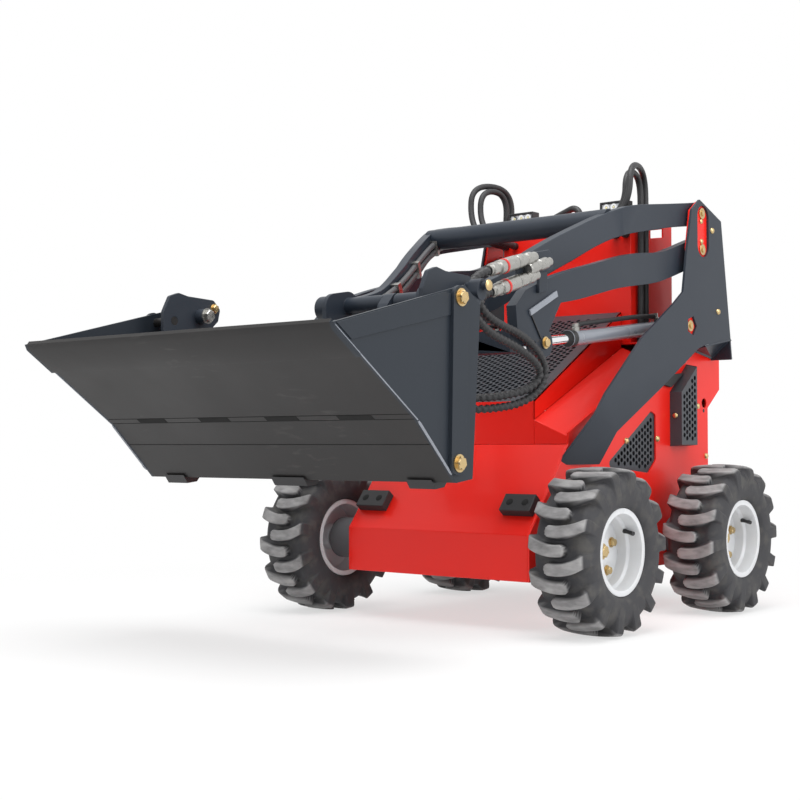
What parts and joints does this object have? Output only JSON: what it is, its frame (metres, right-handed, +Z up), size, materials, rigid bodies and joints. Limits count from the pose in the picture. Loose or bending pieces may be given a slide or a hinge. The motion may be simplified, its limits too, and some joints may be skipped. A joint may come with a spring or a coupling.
{
  "type": "skid steer loader",
  "caption": "Compact stand-on skid steer loader on lugged tyres, with parallel lift arms, hydraulic cylinders and a clam bucket for digging, grading and loading.",
  "frame": {"origin": "on the ground under the middle of the machine's box, with the bucket as it rests", "axes": "+Z up, the bucket points along -Y, the machine's left side is +X"},
  "size_m": [1.172, 2.359, 1.408],
  "materials": {
    "bare_steel": "plated",
    "black_plastic": "matte",
    "black_rubber": "matte",
    "cast_grey": "cast",
    "chrome_rod": "polished",
    "grey_paint": "satin powder coat",
    "red_paint": "gloss paint",
    "rim_paint": "silver paint",
    "tyre": "rubber",
    "zinc_steel": "yellow zinc"
  },
  "bodies": {
    "chassis": {"arm_stops": "black_rubber", "chassis_tub": "red_paint", "console": "red_paint", "console_hose_inner_left": "black_rubber", "console_hose_inner_right": "black_rubber", "console_hose_outer_left": "black_rubber", "console_hose_outer_right": "black_rubber", "controls": "black_plastic", "deck_left": "red_paint", "deck_right": "red_paint", "engine": "cast_grey", "hood": "grey_paint", "hubs": "cast_grey", "pivot_plates": "red_paint", "platform": "grey_paint", "rear_deck": "red_paint", "rear_door": "red_paint", "side_grilles": "grey_paint", "side_panel_left": "red_paint", "side_panel_right": "red_paint", "side_vents": "grey_paint", "tower_left": "grey_paint", "tower_pins": "zinc_steel", "tower_right": "grey_paint", "work_lamps": "black_plastic"},
    "wheel_front_left": {"tyre_front_left": "tyre", "rim_front_left": "rim_paint"},
    "wheel_front_right": {"tyre_front_right": "tyre", "rim_front_right": "rim_paint"},
    "wheel_rear_left": {"tyre_rear_left": "tyre", "rim_rear_left": "rim_paint"},
    "wheel_rear_right": {"tyre_rear_right": "tyre", "rim_rear_right": "rim_paint"},
    "lower_arms": {"lower_arm_left": "grey_paint", "lower_arm_right": "grey_paint", "lower_cross_beam": "grey_paint", "couplers": "bare_steel", "coupler_hose_lower": "black_rubber", "coupler_hose_upper": "black_rubber"},
    "upper_arms": {"upper_arm_left": "grey_paint", "upper_arm_right": "grey_paint", "upper_cross_tube": "grey_paint"},
    "carriage": {"carriage": "grey_paint"},
    "bucket": {"bucket_back": "grey_paint", "attach_plate": "grey_paint", "bucket_ribs": "grey_paint", "tilt_lugs": "grey_paint"},
    "clam": {"clam": "grey_paint"},
    "lift_left_barrel": {"lift_left_barrel": "grey_paint"},
    "lift_left_rod": {"lift_left_rod": "chrome_rod"},
    "lift_right_barrel": {"lift_right_barrel": "grey_paint"},
    "lift_right_rod": {"lift_right_rod": "chrome_rod"},
    "tilt_barrel": {"tilt_barrel": "grey_paint"},
    "tilt_rod": {"tilt_rod": "chrome_rod"},
    "clam_left_barrel": {"clam_left_barrel": "grey_paint"},
    "clam_left_rod": {"clam_left_rod": "chrome_rod"},
    "clam_right_barrel": {"clam_right_barrel": "grey_paint"},
    "clam_right_rod": {"clam_right_rod": "chrome_rod"}
  },
  "joints": [
    {"name": "wheel_front_left_spin", "type": "hinge", "parent": "chassis", "child": "wheel_front_left", "pos_m": [0.497, -0.061, 0.2285], "axis": [1, 0, 0], "continuous": true},
    {"name": "wheel_front_right_spin", "type": "hinge", "parent": "chassis", "child": "wheel_front_right", "pos_m": [-0.497, -0.061, 0.2285], "axis": [1, 0, 0], "continuous": true},
    {"name": "wheel_rear_left_spin", "type": "hinge", "parent": "chassis", "child": "wheel_rear_left", "pos_m": [0.497, 0.66, 0.2285], "axis": [1, 0, 0], "continuous": true},
    {"name": "wheel_rear_right_spin", "type": "hinge", "parent": "chassis", "child": "wheel_rear_right", "pos_m": [-0.497, 0.66, 0.2285], "axis": [1, 0, 0], "continuous": true},
    {"name": "lift", "type": "hinge", "parent": "chassis", "child": "lower_arms", "pos_m": [0, 0.7435, 1.145], "axis": [-1, 0, 0], "range_deg": [-15.5, 55]},
    {"name": "upper_link", "type": "hinge", "parent": "chassis", "child": "upper_arms", "pos_m": [0, 0.7415, 1.262], "axis": [-1, 0, 0], "range_deg": [-15.5, 55]},
    {"name": "carriage_level", "type": "hinge", "parent": "lower_arms", "child": "carriage", "pos_m": [0, -0.3955, 0.788], "axis": [1, 0, 0], "range_deg": [-15.5, 55]},
    {"name": "tilt", "type": "hinge", "parent": "carriage", "child": "bucket", "pos_m": [0, -0.5005, 0.52], "axis": [1, 0, 0], "range_deg": [0, 76]},
    {"name": "clam", "type": "hinge", "parent": "bucket", "child": "clam", "pos_m": [0, -0.7455, 0.861], "axis": [-1, 0, 0], "range_deg": [0, 50]},
    {"name": "lift_left_swing", "type": "hinge", "parent": "chassis", "child": "lift_left_barrel", "pos_m": [0.305, 0.6585, 0.894], "axis": [-1, 0, 0], "range_deg": [-15.58, 54.78]},
    {"name": "lift_left_stroke", "type": "slide", "parent": "lift_left_barrel", "child": "lift_left_rod", "axis": [0, -0.9926, -0.1217], "range_m": [-0.06944, 0.24514]},
    {"name": "lift_right_swing", "type": "hinge", "parent": "chassis", "child": "lift_right_barrel", "pos_m": [-0.305, 0.6585, 0.894], "axis": [-1, 0, 0], "range_deg": [-15.58, 54.78]},
    {"name": "lift_right_stroke", "type": "slide", "parent": "lift_right_barrel", "child": "lift_right_rod", "axis": [0, -0.9926, -0.1217], "range_m": [-0.06944, 0.24514]},
    {"name": "tilt_swing", "type": "hinge", "parent": "carriage", "child": "tilt_barrel", "pos_m": [0, -0.3405, 0.915], "axis": [1, 0, 0], "range_deg": [-0.2, 7.73]},
    {"name": "tilt_stroke", "type": "slide", "parent": "tilt_barrel", "child": "tilt_rod", "axis": [0, -0.6811, -0.7322], "range_m": [-0.0005, 0.18726]},
    {"name": "clam_left_swing", "type": "hinge", "parent": "bucket", "child": "clam_left_barrel", "pos_m": [0.496, -0.6125, 0.902], "axis": [-1, 0, 0], "range_deg": [-0.2, 38.83]},
    {"name": "clam_left_stroke", "type": "slide", "parent": "clam_left_barrel", "child": "clam_left_rod", "axis": [0, -0.3149, -0.9491], "range_m": [-0.0005, 0.06864]},
    {"name": "clam_right_swing", "type": "hinge", "parent": "bucket", "child": "clam_right_barrel", "pos_m": [-0.496, -0.6125, 0.902], "axis": [-1, 0, 0], "range_deg": [-0.2, 38.83]},
    {"name": "clam_right_stroke", "type": "slide", "parent": "clam_right_barrel", "child": "clam_right_rod", "axis": [0, -0.3149, -0.9491], "range_m": [-0.0005, 0.06864]}
  ],
  "couplings": [
    {"joint": "upper_link", "follows": "lift", "ratio": 1},
    {"joint": "carriage_level", "follows": "lift", "ratio": 1},
    {"joint": "lift_left_swing", "follows": "lift", "ratio": 0.99231},
    {"joint": "lift_left_stroke", "follows": "lift", "m_per_rad": 0.25485},
    {"joint": "lift_right_swing", "follows": "lift", "ratio": 0.99231},
    {"joint": "lift_right_stroke", "follows": "lift", "m_per_rad": 0.25485},
    {"joint": "tilt_swing", "follows": "tilt", "ratio": 0.099122},
    {"joint": "tilt_stroke", "follows": "tilt", "m_per_rad": 0.1408},
    {"joint": "clam_left_swing", "follows": "clam", "ratio": 0.77251},
    {"joint": "clam_left_stroke", "follows": "clam", "m_per_rad": 0.078088},
    {"joint": "clam_right_swing", "follows": "clam", "ratio": 0.77251},
    {"joint": "clam_right_stroke", "follows": "clam", "m_per_rad": 0.078088}
  ]
}
